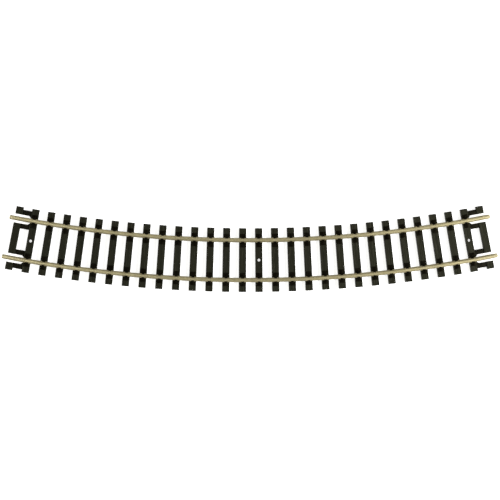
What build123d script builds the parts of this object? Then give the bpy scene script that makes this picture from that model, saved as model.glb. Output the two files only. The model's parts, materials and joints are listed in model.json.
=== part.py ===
from build123d import *
from math import cos, radians, sin
import os

# A curved section of two-rail model track. One sleeper moulding carries two rails in its moulded chairs.
# X runs along the chord, the curve's centre lies towards +Y, and the sleepers stand on Z = 0.
# The origin is the middle of the section's plan box. Sizes are in millimetres and angles in degrees.

# Track
curve_radius = 558.8  # to the centre line between the rails
curve_angle = 22.5  # sixteen sections close a circle
gauge = 16.7  # between the inner faces of the rail heads: 16.5 nominal, eased on the curve

# Rail, a flat-bottomed section
rail_height = 2.54
head_width = 1.1
head_depth = 0.72
head_round = 0.18
head_bevel = 0.16  # height of the slope from the head to the web
rail_web = 0.56
web_fillet = 0.12
foot_width = 2.0
foot_edge = 0.34
foot_slope = 0.24  # rise of the foot from its edge to the web

# Sleepers
sleeper_length = 28.6
sleeper_width = 3.3
sleeper_height = 2.2
sleeper_pitch = 7.3  # nominal: the section shares its length evenly near this
sleeper_draft = 1.5  # lean of the sides, so that the moulding leaves its tool

# Webs that join the sleepers, hidden below the rail feet
web_width = 1.5
web_height = 1.3

# Chairs: a plate below each rail, and a jaw on each side that holds the foot down
plate_thickness = 0.16
plate_width = 2.4
plate_in = 3.2  # from the rail's centre towards the middle of the track
plate_out = 2.8  # from the rail's centre towards the sleeper's end
foot_clearance = 0.04  # between a rail's foot and the jaws that hold it
jaw_grip = 0.26  # how far a jaw reaches over the foot
jaw_lip = 0.14  # least thickness of a jaw over the foot
jaw_foot = 0.62  # from a jaw's upright face to where its slope ends
jaw_width = 1.3
screw_diameter = 0.56
screw_height = 0.2
screw_from_jaw = 0.42  # from the end of a jaw's slope to a screw's centre

# End frames, where the end sleeper is split to clear a rail joiner on each rail
joiner_room = 1.95  # clear space each side of a rail's centre
frame_half_width = 13.15  # from the centre line to the outside of the outer bars
frame_bar = 2.25  # bar beside the window in the middle of the frame
frame_height = 1.7
pocket_corner = 0.9  # corner left in each pocket beside the second sleeper

# Fixing holes for track pins
pin_hole_diameter = 1.3

# Worked out from the sizes above
rail_offset = gauge / 2 + head_width / 2
curve_length = radians(curve_angle) * curve_radius
sleeper_count = round(curve_length / sleeper_pitch)
pitch_angle = curve_angle / sleeper_count
middle_angle = -90
first_angle = middle_angle - curve_angle / 2 + pitch_angle / 2
sleeper_angles = [first_angle + i * pitch_angle for i in range(sleeper_count)]
held_angles = sleeper_angles[1:-1]
held_count = len(held_angles)
held_range = held_angles[-1] - held_angles[0]
pin_angles = [held_angles[0], sleeper_angles[sleeper_count // 2], held_angles[-1]]
seat_height = sleeper_height + plate_thickness
pitch = radians(pitch_angle) * curve_radius
window_half_length = rail_offset - joiner_room - frame_bar
pocket_end = pitch / 2 - sleeper_width / 2
plate_middle = rail_offset + (plate_out - plate_in) / 2
jaw_face = foot_width / 2 + foot_clearance
screw_reach = jaw_face + jaw_foot + screw_from_jaw

# The plan box reaches in Y from an end sleeper's inner corner to a middle one's outer corner
end_turn = radians(curve_angle / 2 - pitch_angle / 2)
mid_turn = radians(pitch_angle / 2 if sleeper_count % 2 == 0 else 0)
high_corner = (curve_radius - sleeper_length / 2) * cos(end_turn) - sleeper_width / 2 * sin(end_turn)
low_corner = (curve_radius + sleeper_length / 2) * cos(mid_turn) + sleeper_width / 2 * sin(mid_turn)
curve_centre = Vector(0, (high_corner + low_corner) / 2, 0)
curve_plane = Plane(origin=curve_centre)
curve_axis = Axis(curve_centre, (0, 0, 1))


def outward(angle):
    """The direction from the curve's centre at an angle."""
    return Vector(cos(radians(angle)), sin(radians(angle)), 0)


def section_plane(angle, radius):
    """An upright plane across the track: its X points away from the curve's centre and its Y points up."""
    radial = outward(angle)
    return Plane(origin=curve_centre + radial * radius, x_dir=radial, z_dir=radial.cross(Vector(0, 0, 1)))


def end_plane(end):
    """A level plane between the last two sleepers of end -1 or +1. Its Y points inwards along the track."""
    angle = middle_angle + end * (curve_angle / 2 - pitch_angle)
    radial = outward(angle)
    return Plane(origin=curve_centre + radial * curve_radius, x_dir=radial * -end, z_dir=(0, 0, 1))


def make_rail(radius):
    """A rail of the given centre-line radius, bent to the curve and lying in the chairs."""
    half_head = head_width / 2
    half_web = rail_web / 2
    half_foot = foot_width / 2
    head_under = rail_height - head_depth
    with BuildPart() as rail:
        with BuildSketch(section_plane(middle_angle - curve_angle / 2, radius)) as section:
            with BuildLine():
                half = Polyline(
                    (0, seat_height),
                    (half_foot, seat_height),
                    (half_foot, seat_height + foot_edge),
                    (half_web, seat_height + foot_edge + foot_slope),
                    (half_web, seat_height + head_under - head_bevel),
                    (half_head, seat_height + head_under),
                    (half_head, seat_height + rail_height),
                    (0, seat_height + rail_height),
                )
                mirror(half, about=Plane.YZ)
            make_face()
            fillet(section.vertices().filter_by(lambda v: abs(abs(v.X) - half_web) < 1e-6), web_fillet)
            fillet(section.vertices().group_by(Axis.Y)[-1], head_round)
        revolve(axis=curve_axis, revolution_arc=curve_angle)
    return rail


def jaw_outline(side):
    """A jaw's corners, from a rail's centre and the seat, for the side +1 or -1 of the rail."""
    half_foot = foot_width / 2
    foot_lean = foot_slope / (half_foot - rail_web / 2)
    tip_under = foot_edge + foot_lean * jaw_grip + foot_clearance
    corners = [
        (jaw_face, 0),
        (jaw_face, foot_edge + foot_clearance),
        (half_foot - jaw_grip, tip_under),
        (half_foot - jaw_grip, tip_under + jaw_lip),
        (jaw_face, tip_under + jaw_lip),
        (jaw_face + jaw_foot, 0),
    ]
    return [(side * x, y) for x, y in corners]


# The sleeper moulding
end_planes = [end_plane(-1), end_plane(1)]
with BuildPart() as sleeper_base:
    # Bars of the end frames, beside the window that the sleepers will close at its ends
    with BuildSketch(*end_planes):
        Rectangle(2 * frame_half_width, pitch)
        Rectangle(2 * window_half_length, pitch, mode=Mode.SUBTRACT)
    extrude(amount=frame_height)

    # End sleepers, and then the pockets that clear a joiner below each rail
    with BuildSketch(curve_plane):
        with PolarLocations(curve_radius, 2, sleeper_angles[0], curve_angle - pitch_angle, endpoint=True):
            Rectangle(sleeper_length, sleeper_width)
    extrude(amount=sleeper_height, taper=sleeper_draft)
    with BuildSketch(*end_planes):
        with Locations((-rail_offset, 0), (rail_offset, 0)):
            Polygon(
                (-joiner_room, -pitch),
                (joiner_room, -pitch),
                (joiner_room, pocket_end - pocket_corner),
                (joiner_room - pocket_corner, pocket_end),
                (pocket_corner - joiner_room, pocket_end),
                (-joiner_room, pocket_end - pocket_corner),
                align=None,
            )
    extrude(amount=sleeper_height, mode=Mode.SUBTRACT)

    # The sleepers that hold the rails
    with BuildSketch(curve_plane):
        with PolarLocations(curve_radius, held_count, held_angles[0], held_range, endpoint=True):
            Rectangle(sleeper_length, sleeper_width)
    extrude(amount=sleeper_height, taper=sleeper_draft)

    # Webs below the rails
    with BuildSketch(section_plane(held_angles[0], curve_radius)):
        with Locations((-rail_offset, 0), (rail_offset, 0)):
            Rectangle(web_width, web_height, align=(Align.CENTER, Align.MIN))
    revolve(axis=curve_axis, revolution_arc=held_range)

    # Chair plates
    with BuildSketch(curve_plane.offset(sleeper_height)):
        with PolarLocations(curve_radius, held_count, held_angles[0], held_range, endpoint=True):
            with Locations((-plate_middle, 0), (plate_middle, 0)):
                Rectangle(plate_in + plate_out, plate_width)
    extrude(amount=plate_thickness)

    # Jaws over both edges of each rail's foot
    with BuildSketch(*[section_plane(angle, curve_radius) for angle in held_angles]):
        with Locations((-rail_offset, seat_height), (rail_offset, seat_height)):
            Polygon(*jaw_outline(-1), align=None)
            Polygon(*jaw_outline(1), align=None)
    extrude(amount=jaw_width / 2, both=True)

    # Screw heads on the plates, one outside each jaw
    with BuildSketch(curve_plane.offset(seat_height)):
        with PolarLocations(curve_radius, held_count, held_angles[0], held_range, endpoint=True):
            with Locations((-rail_offset, 0), (rail_offset, 0)):
                with Locations((-screw_reach, 0), (screw_reach, 0)):
                    Circle(screw_diameter / 2)
    extrude(amount=screw_height)

    # Pin holes in the second sleeper from each end and in the one beside the middle
    for angle in pin_angles:
        with BuildSketch(curve_plane):
            with PolarLocations(curve_radius, 1, angle):
                Circle(pin_hole_diameter / 2)
        extrude(amount=sleeper_height, mode=Mode.SUBTRACT)

inner_rail = make_rail(curve_radius - rail_offset)
outer_rail = make_rail(curve_radius + rail_offset)

os.makedirs("parts", exist_ok=True)

sleeper_base.part.label = "sleeper_base"
export_step(sleeper_base.part, "parts/sleeper_base.step")

inner_rail.part.label = "inner_rail"
export_step(inner_rail.part, "parts/inner_rail.step")

outer_rail.part.label = "outer_rail"
export_step(outer_rail.part, "parts/outer_rail.step")
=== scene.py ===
import bpy
import bmesh
import json
import math
import random
from mathutils import Matrix, Vector, noise


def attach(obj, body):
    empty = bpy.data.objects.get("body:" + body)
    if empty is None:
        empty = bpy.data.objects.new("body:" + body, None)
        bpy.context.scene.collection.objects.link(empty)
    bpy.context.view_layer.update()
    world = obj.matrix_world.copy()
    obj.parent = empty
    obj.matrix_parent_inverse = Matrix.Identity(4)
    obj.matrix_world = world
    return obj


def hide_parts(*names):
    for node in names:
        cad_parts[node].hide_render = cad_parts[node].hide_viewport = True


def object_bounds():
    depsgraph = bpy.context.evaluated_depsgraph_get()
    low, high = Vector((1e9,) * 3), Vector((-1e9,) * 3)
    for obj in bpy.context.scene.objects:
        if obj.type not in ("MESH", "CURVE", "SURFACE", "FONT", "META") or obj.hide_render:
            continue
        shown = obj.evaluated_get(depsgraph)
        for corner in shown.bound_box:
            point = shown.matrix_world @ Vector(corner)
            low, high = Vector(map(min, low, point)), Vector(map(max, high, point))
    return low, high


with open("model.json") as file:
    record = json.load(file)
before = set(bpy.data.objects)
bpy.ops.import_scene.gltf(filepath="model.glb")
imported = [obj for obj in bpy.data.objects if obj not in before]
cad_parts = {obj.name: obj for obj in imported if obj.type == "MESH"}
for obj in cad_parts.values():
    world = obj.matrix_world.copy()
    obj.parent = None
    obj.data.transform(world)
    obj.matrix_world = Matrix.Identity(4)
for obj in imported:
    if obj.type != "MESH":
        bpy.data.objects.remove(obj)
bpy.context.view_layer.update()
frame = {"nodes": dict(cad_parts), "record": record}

mm = 0.001
scene = bpy.context.scene
print("frame loaded:", ", ".join(sorted(frame["nodes"])))


# the track's own line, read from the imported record
mounts = {m["name"]: m for m in frame["record"]["mounts"]}


def mountPlace(name):
    return Vector(mounts[name]["pos_m"])


def circleThrough(a, b, c):  # centre and radius of the circle through three points, seen from above
    ab, ac = (b - a).xy, (c - a).xy
    cross = 2 * (ab.x * ac.y - ab.y * ac.x)
    x = (ac.y * ab.length_squared - ab.y * ac.length_squared) / cross
    y = (ab.x * ac.length_squared - ac.x * ab.length_squared) / cross
    return Vector((a.x + x, a.y + y, 0)), math.hypot(x, y)


pinPlaces = [mountPlace("pin_hole_" + side) for side in ("left", "middle", "right")]
curveCentre, centreRadius = circleThrough(*pinPlaces)


def angleOf(place):
    return math.atan2(place.y - curveCentre.y, place.x - curveCentre.x)


track = {"sleeperCount": 30}
heldCount = track["sleeperCount"] - 2
pinAngles = [angleOf(place) for place in pinPlaces]
pitchAngle = (pinAngles[2] - pinAngles[0]) / (heldCount - 1)
sleeperAngles = [pinAngles[0] + (i - 1) * pitchAngle for i in range(track["sleeperCount"])]
heldAngles = sleeperAngles[1:-1]
pitchLength = pitchAngle * centreRadius

railRadii = {
    "inner": (mountPlace("inner_rail_top") - curveCentre).xy.length,
    "outer": (mountPlace("outer_rail_top") - curveCentre).xy.length,
}
railOffset = (railRadii["outer"] - railRadii["inner"]) / 2
railEnds = (angleOf(mountPlace("inner_rail_left_end")), angleOf(mountPlace("inner_rail_right_end")))
railTop = mountPlace("inner_rail_top").z
railSeat = mountPlace("inner_rail_left_end").z
sleeperTop = mounts["pin_hole_left"]["dims"]["length_mm"] * mm
pinRadius = mounts["pin_hole_left"]["dims"]["r_mm"] * mm


# local x points away from the curve's centre and local y along the track
def trackMatrix(angle, radius=centreRadius):
    radial = Vector((math.cos(angle), math.sin(angle), 0))
    along = Vector((-math.sin(angle), math.cos(angle), 0))
    place = curveCentre + radial * radius
    rows = [(radial[i], along[i], 1.0 if i == 2 else 0.0, place[i]) for i in range(3)]
    return Matrix(rows + [(0, 0, 0, 1)])


print("track line: radius %.1f mm, pitch %.3f mm" % (centreRadius / mm, pitchLength / mm))


cameraSetup = {
    "lens": 144,
    "distance": 0.8969,
    "slide": (-0.000294, 0.004534),
    "tilt": math.radians(-2.35),
    "roll": math.radians(-0.1),
}
turn = Matrix.Rotation(cameraSetup["tilt"], 4, "Y") @ Matrix.Rotation(cameraSetup["roll"], 4, "Z")
back = Matrix.Translation((*cameraSetup["slide"], cameraSetup["distance"]))
middleOfLine = curveCentre - Vector((0, centreRadius, 0))
camera = bpy.data.objects.new("camera", bpy.data.cameras.new("camera"))
camera.data.lens = cameraSetup["lens"]
camera.data.clip_start = 0.01
camera.data.clip_end = 20
camera.matrix_world = Matrix.Translation(middleOfLine) @ turn @ back
scene.collection.objects.link(camera)
scene.camera = camera
print("camera set")


def newGroup(name, inputs, outputs):
    group = bpy.data.node_groups.new(name, "ShaderNodeTree")
    for label, kind, value in inputs:
        socket = group.interface.new_socket(label, in_out="INPUT", socket_type="NodeSocket" + kind)
        if value is not None:
            socket.default_value = value
    for label, kind in outputs:
        group.interface.new_socket(label, in_out="OUTPUT", socket_type="NodeSocket" + kind)
    return group, group.nodes.new("NodeGroupInput"), group.nodes.new("NodeGroupOutput")


def addNode(tree, kind, links=None, **settings):  # a node with its settings and its inputs in one call
    node = tree.nodes.new("ShaderNode" + kind)
    for key, value in settings.items():
        setattr(node, key, value)
    for socket, source in (links or {}).items():
        if isinstance(source, bpy.types.NodeSocket):
            tree.links.new(source, node.inputs[socket])
        else:
            node.inputs[socket].default_value = source
    return node


def remap(tree, source, low, high, toLow=0.0, toHigh=1.0):
    limits = {"Value": source, "From Min": low, "From Max": high, "To Min": toLow, "To Max": toHigh}
    return addNode(tree, "MapRange", limits).outputs["Result"]


def mixColour(tree, amount, a, b):
    node = addNode(tree, "Mix", data_type="RGBA")
    for socket, value in ((node.inputs[0], amount), (node.inputs[6], a), (node.inputs[7], b)):
        if isinstance(value, bpy.types.NodeSocket):
            tree.links.new(value, socket)
        else:
            socket.default_value = value
    return node.outputs[2]


def calc(tree, operation, a, b):
    node = addNode(tree, "Math", {0: a, 1: b}, operation=operation)
    return node.outputs[0]


def spreadAround(tree, source, reach):  # stretches the values within reach of a half to the range 0 to 1
    return remap(tree, source, calc(tree, "SUBTRACT", 0.5, reach), calc(tree, "ADD", 0.5, reach))


def makeStreaks():  # long thin streaks along a map's first axis, for moulded grain and for drawn metal
    inputs = [
        ("Vector", "Vector", None),
        ("Along", "Float", 0.2),
        ("Across", "Float", 5.0),
        ("Sharpness", "Float", 0.2),
        ("Seed", "Float", 0.0),
    ]
    group, given, made = newGroup("streaks", inputs, [("Mask", "Float")])
    factors = {"X": given.outputs["Along"], "Y": given.outputs["Across"], "Z": 1.0}
    scale = addNode(group, "CombineXYZ", factors)
    product = {0: given.outputs["Vector"], 1: scale.outputs[0]}
    stretched = addNode(group, "VectorMath", product, operation="MULTIPLY").outputs[0]
    settings = {"Vector": stretched, "W": given.outputs["Seed"], "Scale": 1.0}
    settings.update({"Detail": 3.0, "Roughness": 0.55, "Distortion": 0.15})
    cloud = addNode(group, "TexNoise", settings, noise_dimensions="4D").outputs[0]
    group.links.new(spreadAround(group, cloud, given.outputs["Sharpness"]), made.inputs["Mask"])
    return group


def makeSpeckle():  # fine even texture of a spark-eroded tool or a brushed surface
    inputs = [("Scale", "Float", 4000.0), ("Contrast", "Float", 0.25)]
    group, given, made = newGroup("speckle", inputs, [("Mask", "Float")])
    place = addNode(group, "TexCoord").outputs["Object"]
    settings = {"Vector": place, "Scale": given.outputs["Scale"], "Detail": 2.0, "Roughness": 0.6}
    cloud = addNode(group, "TexNoise", settings).outputs[0]
    group.links.new(spreadAround(group, cloud, given.outputs["Contrast"]), made.inputs["Mask"])
    return group


def makeWornEdges():  # light on outer edges, broken up so that it isn't an outline
    inputs = [("Reach", "Float", 0.06), ("Break Up", "Float", 600.0)]
    group, given, made = newGroup("wornEdges", inputs, [("Mask", "Float")])
    pointed = addNode(group, "NewGeometry").outputs["Pointiness"]
    place = addNode(group, "TexCoord").outputs["Object"]
    settings = {"Vector": place, "Scale": given.outputs["Break Up"], "Detail": 4.0}
    cloud = addNode(group, "TexNoise", settings).outputs[0]
    edge = remap(group, pointed, 0.5, calc(group, "ADD", 0.5, given.outputs["Reach"]))
    group.links.new(calc(group, "MULTIPLY", edge, remap(group, cloud, 0.35, 0.65)), made.inputs["Mask"])
    return group


streaks = makeStreaks()
speckle = makeSpeckle()
wornEdges = makeWornEdges()


def streakMask(tree, grainMap, along, across, sharpness, seed):
    settings = {"Vector": grainMap, "Along": along, "Across": across, "Sharpness": sharpness, "Seed": seed}
    return addNode(tree, "Group", settings, node_tree=streaks).outputs["Mask"]


def speckleMask(tree, scale, contrast):
    return addNode(tree, "Group", {"Scale": scale, "Contrast": contrast}, node_tree=speckle).outputs["Mask"]


def wornMask(tree, reach, breakUp, amount):
    node = addNode(tree, "Group", {"Reach": reach, "Break Up": breakUp}, node_tree=wornEdges)
    return calc(tree, "MULTIPLY", node.outputs["Mask"], amount)


def setBump(tree, shader, height, strength, distance):
    settings = {"Height": height, "Strength": strength, "Distance": distance}
    tree.links.new(addNode(tree, "Bump", settings).outputs[0], shader.inputs["Normal"])


def newMaterial(name, **sockets):
    material = bpy.data.materials.new(name)
    material.use_nodes = True
    tree = material.node_tree
    shader = tree.nodes["Principled BSDF"]
    for key, value in sockets.items():
        shader.inputs[key.replace("_", " ")].default_value = value
    return material, tree, shader


def mapOf(tree):  # the piece's own map: millimetres along and across the grain
    return addNode(tree, "UVMap", uv_map="grainMap").outputs["UV"]


print("shader groups built")


def makeSleeperPlastic():
    gloss = {"Specular_IOR_Level": 0.13, "Specular_Tint": (1.0, 0.98, 0.68, 1)}
    material, tree, shader = newMaterial("blackSleeperPlastic", **gloss)
    grainMap = mapOf(tree)
    fine = streakMask(tree, grainMap, 0.22, 5.5, 0.16, 1.0)
    broad = streakMask(tree, grainMap, 0.06, 2.1, 0.16, 2.0)
    grit = speckleMask(tree, 5200.0, 0.22)
    tone = mixColour(tree, broad, (0.0012, 0.0012, 0.0007, 1), (0.0125, 0.0128, 0.0080, 1))
    tone = mixColour(tree, calc(tree, "MULTIPLY", fine, 0.5), tone, (0.0165, 0.0168, 0.0108, 1))
    tone = mixColour(tree, wornMask(tree, 0.05, 900.0, 0.4), tone, (0.03, 0.031, 0.023, 1))
    tree.links.new(tone, shader.inputs["Base Color"])
    rough = calc(tree, "ADD", remap(tree, broad, 0, 1, 0.56, 0.42), remap(tree, grit, 0, 1, -0.03, 0.05))
    tree.links.new(rough, shader.inputs["Roughness"])
    relief = calc(tree, "ADD", calc(tree, "MULTIPLY", fine, 0.7), calc(tree, "MULTIPLY", grit, 0.18))
    setBump(tree, shader, relief, 0.45, 0.03 * mm)
    return material


# the chairs are darker than the sleepers: their own black plastic, with painted shade beside the rail
def makeChairPlasticAndShade():
    gloss = {"Specular_IOR_Level": 0.03, "Specular_Tint": (1.0, 0.85, 0.5, 1)}
    material, tree, shader = newMaterial("blackChairPlasticAndShade", **gloss)
    grit = speckleMask(tree, 6500.0, 0.25)
    cloudy = speckleMask(tree, 420.0, 0.2)
    tone = mixColour(tree, cloudy, (0.0014, 0.0011, 0.0006, 1), (0.0028, 0.0023, 0.0013, 1))
    tone = mixColour(tree, wornMask(tree, 0.08, 700.0, 0.3), tone, (0.018, 0.017, 0.012, 1))
    tree.links.new(tone, shader.inputs["Base Color"])
    tree.links.new(remap(tree, grit, 0, 1, 0.34, 0.46), shader.inputs["Roughness"])
    setBump(tree, shader, grit, 0.3, 0.02 * mm)
    return material


def makeBarPlastic():  # the plain bars between the sleepers, without grain
    gloss = {"Specular_IOR_Level": 0.07, "Specular_Tint": (1.0, 0.92, 0.62, 1)}
    material, tree, shader = newMaterial("blackBarPlastic", **gloss)
    grit = speckleMask(tree, 5800.0, 0.25)
    cloudy = speckleMask(tree, 300.0, 0.2)
    tone = mixColour(tree, cloudy, (0.0017, 0.0015, 0.0009, 1), (0.0042, 0.0039, 0.0025, 1))
    tone = mixColour(tree, wornMask(tree, 0.06, 800.0, 0.35), tone, (0.02, 0.02, 0.014, 1))
    tree.links.new(tone, shader.inputs["Base Color"])
    tree.links.new(remap(tree, grit, 0, 1, 0.42, 0.54), shader.inputs["Roughness"])
    setBump(tree, shader, grit, 0.3, 0.02 * mm)
    return material


def makeNickelSilver():
    material, tree, shader = newMaterial("nickelSilverRail", Metallic=1.0)
    drawMap = mapOf(tree)
    lines = streakMask(tree, drawMap, 0.05, 16.0, 0.2, 3.0)
    toning = streakMask(tree, drawMap, 0.09, 0.35, 0.24, 4.0)
    warmth = streakMask(tree, drawMap, 0.16, 0.2, 0.2, 5.0)
    sawMarks = streakMask(tree, drawMap, 0.4, 9.0, 0.12, 6.0)
    grit = speckleMask(tree, 3000.0, 0.2)
    place = addNode(tree, "TexCoord").outputs["Object"]
    height = addNode(tree, "SeparateXYZ", {0: place}).outputs["Z"]
    alongMap = addNode(tree, "SeparateXYZ", {0: drawMap}).outputs["X"]

    polished = remap(tree, height, railTop - 0.2 * mm, railTop - 0.04 * mm)  # cleaned by use
    # the web between foot and head is darkened: tarnish, and painted shade under the head
    aboveFoot = remap(tree, height, railSeat + 0.45 * mm, railSeat + 0.75 * mm)
    belowHead = remap(tree, height, railTop - 0.75 * mm, railTop - 1.0 * mm)
    recess = calc(tree, "MULTIPLY", aboveFoot, belowHead)
    tarnishAndShade = calc(tree, "MULTIPLY", recess, remap(tree, toning, 0, 1, 0.55, 0.85))
    sawn = remap(tree, alongMap, -20, -15, 1, 0)
    # the foot is painted lighter than the rest of the rail: a painted highlight
    footHighlight = remap(tree, height, railSeat + 0.6 * mm, railSeat + 0.42 * mm)

    tone = mixColour(tree, toning, (0.46, 0.395, 0.205, 1), (0.56, 0.49, 0.265, 1))
    tone = mixColour(tree, calc(tree, "MULTIPLY", warmth, 0.35), tone, (0.58, 0.47, 0.25, 1))
    tone = mixColour(tree, calc(tree, "MULTIPLY", polished, 0.6), tone, (0.58, 0.515, 0.295, 1))
    # tarnish and painted shade in the web
    tone = mixColour(tree, tarnishAndShade, tone, (0.27, 0.215, 0.115, 1))
    # painted highlight on the foot
    tone = mixColour(tree, calc(tree, "MULTIPLY", footHighlight, 0.7), tone, (0.76, 0.68, 0.42, 1))
    tone = mixColour(tree, calc(tree, "MULTIPLY", lines, 0.25), tone, (0.37, 0.315, 0.16, 1))
    tone = mixColour(tree, wornMask(tree, 0.06, 500.0, 0.4), tone, (0.66, 0.6, 0.44, 1))
    sawnTone = mixColour(tree, sawMarks, (0.2, 0.165, 0.095, 1), (0.46, 0.4, 0.25, 1))
    tree.links.new(mixColour(tree, sawn, tone, sawnTone), shader.inputs["Base Color"])

    rough = calc(tree, "ADD", remap(tree, lines, 0, 1, 0.3, 0.4), remap(tree, toning, 0, 1, 0.06, -0.02))
    rough = calc(tree, "ADD", rough, calc(tree, "MULTIPLY", tarnishAndShade, 0.1))
    tree.links.new(rough, shader.inputs["Roughness"])
    relief = calc(tree, "ADD", lines, calc(tree, "MULTIPLY", grit, 0.35))
    setBump(tree, shader, relief, 0.35, 0.012 * mm)
    return material


def makeFloorFinish():
    material, tree, shader = newMaterial("paleFloor", Roughness=0.9, Specular_IOR_Level=0.1)
    shader.inputs["Base Color"].default_value = (0.86, 0.86, 0.85, 1)
    shader.inputs["Emission Color"].default_value = (1.0, 1.0, 0.985, 1)
    shader.inputs["Emission Strength"].default_value = 0.78
    return material


sleeperPlastic = makeSleeperPlastic()
chairPlasticAndShade = makeChairPlasticAndShade()
barPlastic = makeBarPlastic()
nickelSilver = makeNickelSilver()
print("materials built")


def finishPiece(name, bm, material, nodeName, sharpAngle=32):
    bmesh.ops.recalc_face_normals(bm, faces=bm.faces)
    mesh = bpy.data.meshes.new(name)
    bm.to_mesh(mesh)
    bm.free()
    mesh.shade_smooth()
    mesh.set_sharp_from_angle(angle=math.radians(sharpAngle))
    mesh.materials.append(material)
    piece = bpy.data.objects.new(name, mesh)
    scene.collection.objects.link(piece)
    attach(piece, "root")
    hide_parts(nodeName)
    print("%s: %d faces" % (name, len(mesh.polygons)))


def lengthsAround(outline):  # the distance round a closed outline at each point and back at its start
    around = [0.0]
    for a, b in zip(outline, outline[1:] + outline[:1]):
        around.append(around[-1] + math.dist(a, b))
    return around


# joins rings of points into a tube with flat ends; mapped holds each point's place on the grain map
def skin(bm, rings, mapped, endMap=None):
    grainLayer = bm.loops.layers.uv.get("grainMap") or bm.loops.layers.uv.new("grainMap")
    rows = [[bm.verts.new(p) for p in ring] for ring in rings]
    count = len(rings[0])
    for i in range(len(rows) - 1):
        for j in range(count):
            k = (j + 1) % count
            face = bm.faces.new((rows[i][j], rows[i + 1][j], rows[i + 1][k], rows[i][k]))
            corners = ((i, j), (i + 1, j), (i + 1, j + 1), (i, j + 1))
            for loop, (row, col) in zip(face.loops, corners):
                loop[grainLayer].uv = mapped[row][col]
    for row, i in ((rows[0], 0), (rows[-1], len(rows) - 1)):
        face = bm.faces.new(row if i else row[::-1])
        for loop, col in zip(face.loops, range(count) if i else range(count - 1, -1, -1)):
            loop[grainLayer].uv = endMap[col] if endMap else mapped[i][col]


# sizes in millimetres
sleeper = {
    "length": 28.6,
    "width": 3.3,
    "draft": math.radians(1.5),
    "edgeRound": 0.1,
    "endRound": 0.08,
    "topColumns": 36,        # steps across the top
    "stationLength": 0.62,   # steps along the sleeper
    "joinerRoom": 1.95,      # half of the pocket that a rail joiner needs
    "grooves": (15, 21),     # least and most on one sleeper
    "grooveDepth": (0.018, 0.06),
    "grooveWidth": (0.05, 0.14),
    "waveHeight": 0.03,
    "splits": (1, 3),        # at each end
    "splitDepth": (0.06, 0.16),
    "splitLength": (0.9, 3.4),
}


def growGrain(rng):  # the grooves of one sleeper, and the splits that start at its ends
    half = sleeper["length"] / 2
    width = sleeper["width"] / 2
    grooves = []
    for _ in range(rng.randint(*sleeper["grooves"])):
        start = rng.uniform(-half * 1.6, half * 0.7)
        grooves.append({
            "from": start,
            "to": start + rng.uniform(0.5, 1.6) * half,
            "y": rng.uniform(-width, width),
            "wander": rng.uniform(0.05, 0.22),
            "seed": rng.uniform(0, 90),
            "depth": rng.uniform(*sleeper["grooveDepth"]),
            "width": rng.uniform(*sleeper["grooveWidth"]),
        })
    for end in (-1, 1):
        for _ in range(rng.randint(*sleeper["splits"])):
            reach = rng.uniform(*sleeper["splitLength"])
            grooves.append({
                "from": -half - 9 if end < 0 else half - reach,
                "to": -half + reach if end < 0 else half + 9,
                "y": rng.uniform(-width, width) * 0.8,
                "wander": 0.1,
                "seed": rng.uniform(0, 90),
                "depth": rng.uniform(*sleeper["splitDepth"]),
                "width": rng.uniform(0.05, 0.09),
            })
    return grooves


def grainLines(grooves, x):  # (place, depth, width) of the grooves that cross a station
    lines = []
    for g in grooves:
        fade = min(x - g["from"], g["to"] - x) / 1.4
        if fade > 0:
            y = g["y"] + g["wander"] * noise.noise(Vector((x * 0.16, g["seed"], 0)))
            lines.append((y, g["depth"] * min(fade, 1.0), g["width"]))
    return lines


# one cross-section of a sleeper, from the left foot over the top to the right foot
def sleeperRing(x, inset, grooves, seed):
    height = sleeperTop / mm
    lean = math.tan(sleeper["draft"])
    base = sleeper["width"] / 2 - inset
    top = base - height * lean
    r = sleeper["edgeRound"]
    lines = grainLines(grooves, x)
    ring = [(-base, 0.0), (-base + 0.45 * height * lean, 0.45 * height)]
    for step in (0, 1, 2):  # rounded upper edge
        a = math.radians(8 + 34 * step)
        ring.append((-top + r - r * math.cos(a), height - inset - r + r * math.sin(a)))
    left = -top + r
    for i in range(sleeper["topColumns"] + 1):
        y = left + (-2 * left) * i / sleeper["topColumns"]
        dip = sleeper["waveHeight"] * (0.5 + 0.5 * noise.noise(Vector((x * 0.07, y * 1.5, seed))))
        for place, depth, width in lines:
            away = abs(y - place) / width
            if away < 2.5:
                dip = max(dip, depth * math.exp(-away * away) + dip * 0.6)
        ring.append((y, height - inset - dip))
    ring += [(-y, z) for y, z in ring[4:1:-1]] + [(-y, z) for y, z in ring[1::-1]]
    return ring


# spans are the solid lengths along the sleeper, so a split sleeper has three of them
def addSleeper(bm, angle, spans, rng):
    grooves = growGrain(rng)
    seed = rng.uniform(0, 90)
    shift = (rng.uniform(0, 400), rng.uniform(0, 400))
    matrix = trackMatrix(angle)
    for low, high in spans:
        count = max(4, round((high - low) / sleeper["stationLength"]))
        r = sleeper["endRound"]
        stations = [(low, r), (low + 0.3 * r, 0.3 * r), (low + r, 0.0)]
        stations += [(low + r + (high - low - 2 * r) * i / count, 0.0) for i in range(1, count)]
        stations += [(high - r, 0.0), (high - 0.3 * r, 0.3 * r), (high, r)]
        rings = []
        mapped = []
        for x, inset in stations:
            ring = sleeperRing(x, inset, grooves, seed)
            rings.append([matrix @ (Vector((x, y, z)) * mm) for y, z in ring])
            around = lengthsAround(ring)
            mapped.append([(x + shift[0], v + shift[1]) for v in around])
        skin(bm, rings, mapped)


def addCylinder(bm, segments, radius, depth, matrix):
    ends = {"cap_ends": True, "radius1": radius, "radius2": radius}
    bmesh.ops.create_cone(bm, segments=segments, depth=depth, matrix=matrix, **ends)


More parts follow.
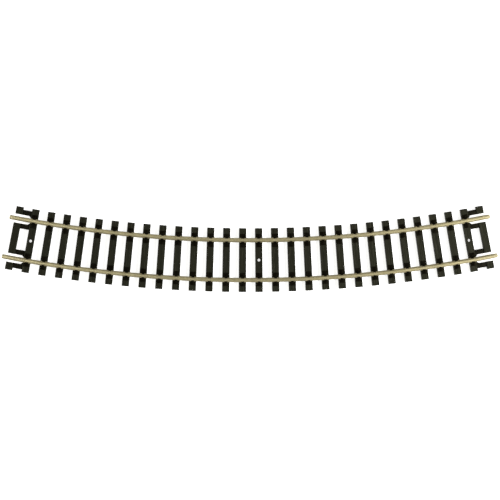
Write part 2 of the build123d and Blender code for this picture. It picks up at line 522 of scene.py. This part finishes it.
def drillPin(bm, angle):  # cuts the pin hole through a sleeper that still stands alone in its own bmesh
    mesh = bpy.data.meshes.new("drilled")
    bm.to_mesh(mesh)
    bm.free()
    drilled = bpy.data.objects.new("drilled", mesh)
    cutter = bmesh.new()
    addCylinder(cutter, 40, pinRadius, 4 * sleeperTop, trackMatrix(angle))
    cutterMesh = bpy.data.meshes.new("pinCutter")
    cutter.to_mesh(cutterMesh)
    cutter.free()
    pin = bpy.data.objects.new("pinCutter", cutterMesh)
    for thing in (drilled, pin):
        scene.collection.objects.link(thing)
    cut = drilled.modifiers.new("pinHole", "BOOLEAN")
    cut.operation = "DIFFERENCE"
    cut.solver = "EXACT"
    cut.object = pin
    graph = bpy.context.evaluated_depsgraph_get()
    result = bpy.data.meshes.new_from_object(drilled.evaluated_get(graph))
    for thing in (drilled, pin):
        bpy.data.objects.remove(thing)
    return result


def addSleepers(bm):
    half = sleeper["length"] / 2
    room = sleeper["joinerRoom"]
    rail = railOffset / mm
    whole = [(-half, half)]
    split = [(-half, -rail - room), (-rail + room, rail - room), (rail + room, half)]
    for i, angle in enumerate(sleeperAngles):
        rng = random.Random(100 + i)
        one = bmesh.new()
        addSleeper(one, angle, split if i in (0, len(sleeperAngles) - 1) else whole, rng)
        bmesh.ops.recalc_face_normals(one, faces=one.faces)
        if any(abs(angle - pin) < pitchAngle / 4 for pin in pinAngles):
            made = drillPin(one, angle)
        else:
            made = bpy.data.meshes.new("sleeper")
            one.to_mesh(made)
            one.free()
        bm.from_mesh(made)
        bpy.data.meshes.remove(made)


# the bars that tie an end sleeper to the next, beside the window and the joiner pockets
endFrame = {
    "halfWidth": 13.15,
    "windowBar": 2.25,
    "height": 1.7,
    "corner": 0.9,
    "edgeRound": 0.09,
}


def addBar(bm, outline, matrix, height, edgeRound):
    one = bmesh.new()
    base = one.faces.new([one.verts.new((x * mm, y * mm, 0)) for x, y in outline])
    raised = bmesh.ops.extrude_face_region(one, geom=[base])
    top = [g for g in raised["geom"] if isinstance(g, bmesh.types.BMVert)]
    bmesh.ops.translate(one, verts=top, vec=(0, 0, height * mm))
    upper = [e for e in one.edges if min(v.co.z for v in e.verts) > 0.5 * height * mm]
    bmesh.ops.bevel(one, geom=upper, offset=edgeRound * mm, segments=3, profile=0.5, affect="EDGES")
    layer = one.loops.layers.uv.new("grainMap")
    for face in one.faces:
        for loop in face.loops:
            p = loop.vert.co / mm
            loop[layer].uv = (p.y + 37, p.x + p.z + 91)
    bmesh.ops.transform(one, matrix=matrix, verts=one.verts)
    bmesh.ops.recalc_face_normals(one, faces=one.faces)
    made = bpy.data.meshes.new("bar")
    one.to_mesh(made)
    one.free()
    bm.from_mesh(made)
    bpy.data.meshes.remove(made)


def addEndFrames(bm):
    rail = railOffset / mm
    room = sleeper["joinerRoom"]
    pitch = pitchLength / mm
    face = pitch / 2 - sleeper["width"] / 2
    corner = endFrame["corner"]
    window = rail - room - endFrame["windowBar"]
    outer = [
        (rail + room, -pitch / 2),
        (endFrame["halfWidth"], -pitch / 2),
        (endFrame["halfWidth"], pitch / 2),
        (rail + room - corner, pitch / 2),
        (rail + room - corner, face),
        (rail + room, face - corner),
    ]
    inner = [
        (window, -pitch / 2),
        (rail - room, -pitch / 2),
        (rail - room, face - corner),
        (rail - room + corner, face),
        (rail - room + corner, pitch / 2),
        (window, pitch / 2),
    ]
    for endMost, second, inwards in ((0, 1, 1), (-1, -2, -1)):
        matrix = trackMatrix((sleeperAngles[endMost] + sleeperAngles[second]) / 2)
        for side in (-1, 1):
            for outline in (outer, inner):
                placed = [(x * side, y * inwards) for x, y in outline]
                addBar(bm, placed, matrix, endFrame["height"], endFrame["edgeRound"])


# the low webs that join the sleepers below each rail
web = {
    "width": 1.5,
    "height": 1.3,
    "edgeRound": 0.1,
    "stepsPerSleeper": 2,
}


def addWebs(bm):
    half, high, r = web["width"] / 2, web["height"], web["edgeRound"]
    right = [(half, 0), (half, high - r), (half - 0.3 * r, high - 0.3 * r), (half - r, high)]
    profile = [(-x, z) for x, z in right] + right[::-1]
    around = lengthsAround(profile)
    for radius in railRadii.values():
        rings = []
        mapped = []
        steps = heldCount * web["stepsPerSleeper"]
        for i in range(steps + 1):
            angle = heldAngles[0] + (heldAngles[-1] - heldAngles[0]) * i / steps
            matrix = trackMatrix(angle, radius)
            rings.append([matrix @ Vector((x * mm, 0, z * mm)) for x, z in profile])
            mapped.append([(i * 3.6, v) for v in around])
        skin(bm, rings, mapped)


moulding = bmesh.new()
moulding.loops.layers.uv.new("grainMap")
addSleepers(moulding)
finishPiece("sleeperMoulding", moulding, sleeperPlastic, "sleeper_base")

bars = bmesh.new()
bars.loops.layers.uv.new("grainMap")
addEndFrames(bars)
addWebs(bars)
finishPiece("joiningBars", bars, barPlastic, "sleeper_base")


# a plate below the rail, a jaw on each side of its foot and a screw head beyond each jaw
chair = {
    "plateThickness": 0.16,
    "plateWidth": 2.4,
    # the plate reaches further towards the middle of the track, where the painted shade beside the rail is
    # wider
    "plateIn": 3.2,
    "plateOut": 2.8,
    "plateSunk": 0.25,
    "jawFace": 1.04,
    "jawTip": 0.74,
    "jawTipUnder": 0.467,
    "jawRoot": 0.38,
    "jawTop": 0.607,
    "jawFoot": 0.62,
    "jawWidth": 1.3,
    "jawSunk": 0.1,
    "screwRadius": 0.28,
    "screwHeight": 0.2,
    "screwSunk": 0.1,
    "screwRound": 0.07,
    "screwReach": 2.08,
    "edgeRound": 0.045,
}


def roundEdges(bm, verts, amount, keepBelow):
    edges = {e for v in verts for e in v.link_edges if max(p.co.z for p in e.verts) > keepBelow}
    bmesh.ops.bevel(bm, geom=list(edges), offset=amount * mm, segments=2, profile=0.5, affect="EDGES")


def jawOutline():  # from the rail's centre and from the seat, in the order round the jaw
    face, tip, toe = chair["jawFace"], chair["jawTip"], chair["jawFace"] + chair["jawFoot"]
    return [
        (face, -chair["jawSunk"]),
        (face, chair["jawRoot"]),
        (tip, chair["jawTipUnder"]),
        (tip, chair["jawTop"]),
        (face, chair["jawTop"]),
        (toe, 0.0),
        (toe, -chair["jawSunk"]),
    ]


def buildChair(toMiddle):  # toMiddle is +1 or -1, the way along x to the middle of the track
    bm = bmesh.new()
    seat = railSeat / mm
    low = -chair["plateOut"] if toMiddle > 0 else -chair["plateIn"]
    high = chair["plateIn"] if toMiddle > 0 else chair["plateOut"]
    half = chair["plateWidth"] / 2
    bottom = seat - chair["plateThickness"] - chair["plateSunk"]

    def prism(outline, depth):  # an outline across the rail, pushed out both ways along it
        before = set(bm.verts)
        face = bm.faces.new([bm.verts.new(Vector((x, -depth, z)) * mm) for x, z in outline])
        raised = bmesh.ops.extrude_face_region(bm, geom=[face])
        moved = [g for g in raised["geom"] if isinstance(g, bmesh.types.BMVert)]
        bmesh.ops.translate(bm, verts=moved, vec=(0, 2 * depth * mm, 0))
        return [v for v in bm.verts if v not in before]

    plate = prism([(low, bottom), (high, bottom), (high, seat), (low, seat)], half)
    roundEdges(bm, plate, chair["edgeRound"], (seat - 0.05) * mm)
    screwTop = seat + chair["screwHeight"]
    screwBottom = seat - chair["screwSunk"]
    screwDepth = (screwTop - screwBottom) * mm
    for side in (-1, 1):
        outline = [(side * a, seat + b) for a, b in jawOutline()]
        jaw = prism(outline, chair["jawWidth"] / 2)
        roundEdges(bm, jaw, chair["edgeRound"], (seat + 0.2) * mm)
        before = set(bm.verts)
        middle = Vector((side * chair["screwReach"], 0, (screwTop + screwBottom) / 2)) * mm
        addCylinder(bm, 20, chair["screwRadius"] * mm, screwDepth, Matrix.Translation(middle))
        upper = [v for v in bm.verts if v not in before and v.co.z > seat * mm]
        roundEdges(bm, upper, chair["screwRound"], (screwTop - 0.02) * mm)
    bmesh.ops.recalc_face_normals(bm, faces=bm.faces)
    mesh = bpy.data.meshes.new("chair")
    bm.to_mesh(mesh)
    bm.free()
    return mesh


chairs = bmesh.new()
for toMiddle, radius in ((1, railRadii["inner"]), (-1, railRadii["outer"])):
    pattern = buildChair(toMiddle)
    for angle in heldAngles:
        placed = pattern.copy()
        placed.transform(trackMatrix(angle, radius))
        chairs.from_mesh(placed)
        bpy.data.meshes.remove(placed)
    bpy.data.meshes.remove(pattern)
finishPiece("railChairs", chairs, chairPlasticAndShade, "sleeper_base")


# flat-bottomed rail, drawn through a die
rail = {
    "height": 2.54,
    "headWidth": 1.1,
    "headDepth": 0.72,
    "headRound": 0.18,
    "headBevel": 0.16,
    "webThickness": 0.56,
    "webFillet": 0.12,
    "footWidth": 2.0,
    "footEdge": 0.34,
    "footSlope": 0.24,
    "footRound": 0.05,
    "endChamfer": 0.05,
    "stations": 200,
    "sawnMap": -50.0,  # where the sawn ends lie on the map, away from the drawn sides
}


def roundedOutline(points, radii, steps=4):  # replaces each corner that has a radius with a short arc
    out = []
    count = len(points)
    for i, p in enumerate(points):
        if not radii[i]:
            out.append(Vector(p))
            continue
        here = Vector(p)
        back = (Vector(points[i - 1]) - here).normalized()
        ahead = (Vector(points[(i + 1) % count]) - here).normalized()
        half = back.angle(ahead) / 2
        reach = radii[i] / math.tan(half)
        centre = here + (back + ahead).normalized() * radii[i] / math.sin(half)
        first, last = here + back * reach - centre, here + ahead * reach - centre
        sweep = first.angle_signed(last)
        for k in range(steps + 1):
            t = sweep * k / steps
            c, s = math.cos(-t), math.sin(-t)
            out.append(centre + Vector((first.x * c - first.y * s, first.x * s + first.y * c)))
    return out


def railProfile():
    h, under = rail["height"], rail["height"] - rail["headDepth"]
    head, webHalf, foot = rail["headWidth"] / 2, rail["webThickness"] / 2, rail["footWidth"] / 2
    small, fillet = rail["footRound"], rail["webFillet"]
    right = [
        ((foot, 0), small),
        ((foot, rail["footEdge"]), small),
        ((webHalf, rail["footEdge"] + rail["footSlope"]), fillet),
        ((webHalf, under - rail["headBevel"]), fillet),
        ((head, under), small),
        ((head, h), rail["headRound"]),
    ]
    corners = right + [((-x, z), radius) for (x, z), radius in reversed(right)]
    return roundedOutline([point for point, _ in corners], [radius for _, radius in corners])


def addRail(name, nodeName, radius, seed):
    bm = bmesh.new()
    profile = railProfile()
    middle = Vector((0, rail["height"] / 2))
    around = lengthsAround(profile)
    chamfer = rail["endChamfer"]
    start, end = railEnds
    chamferAngle = chamfer * mm / radius
    stations = [(start, chamfer), (start + chamferAngle, 0.0)]
    stations += [(start + (end - start) * i / rail["stations"], 0.0) for i in range(1, rail["stations"])]
    stations += [(end - chamferAngle, 0.0), (end, chamfer)]
    rings = []
    mapped = []
    for angle, inset in stations:
        matrix = trackMatrix(angle, radius)
        ring = []
        for p in profile:
            q = p + (middle - p) * min(1.0, inset / max((middle - p).length, 0.01))
            ring.append(matrix @ Vector((q.x * mm, 0, railSeat + q.y * mm)))
        rings.append(ring)
        mapped.append([((angle - start) * radius / mm + seed, v) for v in around])
    skin(bm, rings, mapped, endMap=[(rail["sawnMap"] + p.x, p.y) for p in profile])
    finishPiece(name, bm, nickelSilver, nodeName, sharpAngle=28)


addRail("innerRail", "inner_rail", railRadii["inner"], 10)
addRail("outerRail", "outer_rail", railRadii["outer"], 700)

# pale floor and soft studio light
floorMesh = bpy.data.meshes.new("floor")
floorMaker = bmesh.new()
bmesh.ops.create_grid(floorMaker, x_segments=1, y_segments=1, size=2.5)
floorMaker.to_mesh(floorMesh)
floorMaker.free()
floor = bpy.data.objects.new("floor", floorMesh)
floor.location.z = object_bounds()[0].z - 0.02 * mm
floorMesh.materials.append(makeFloorFinish())
scene.collection.objects.link(floor)

studio = {
    "overhead": 0.23,
    "horizon": 0.92,
    "horizonSpan": (0.02, 0.3),  # sines of the heights between which the room darkens
    "worldColour": (1.0, 0.995, 0.97, 1),
    "panels": {
        "side": {"place": (-0.75, 0.0, 0.3), "size": (0.7, 0.4), "power": 3.2},
        "left": {"place": (-0.22, 0.0, 0.5), "size": (0.14, 0.2), "power": 0.25},
        "right": {"place": (0.48, -0.05, 0.47), "size": (0.3, 0.2), "power": 5.4},
    },
}
world = bpy.data.worlds.new("studio")
world.use_nodes = True
room = world.node_tree
room.nodes["Background"].inputs["Color"].default_value = studio["worldColour"]
heading = addNode(room, "SeparateXYZ", {0: addNode(room, "TexCoord").outputs["Generated"]}).outputs["Z"]
roomLight = remap(room, heading, *studio["horizonSpan"], studio["horizon"], studio["overhead"])
room.links.new(roomLight, room.nodes["Background"].inputs["Strength"])
scene.world = world
for name, given in studio["panels"].items():
    panel = bpy.data.lights.new(name + "Softbox", "AREA")
    panel.shape = "RECTANGLE"
    panel.size, panel.size_y = given["size"]
    panel.energy = given["power"]
    lamp = bpy.data.objects.new(name + "Softbox", panel)
    lamp.visible_camera = False
    lamp.location = given["place"]
    lamp.rotation_euler = (-lamp.location).to_track_quat("-Z", "Y").to_euler()
    scene.collection.objects.link(lamp)
scene.view_settings.view_transform = "Standard"
scene.view_settings.look = "None"
print("floor and lights set")

print("scene built")
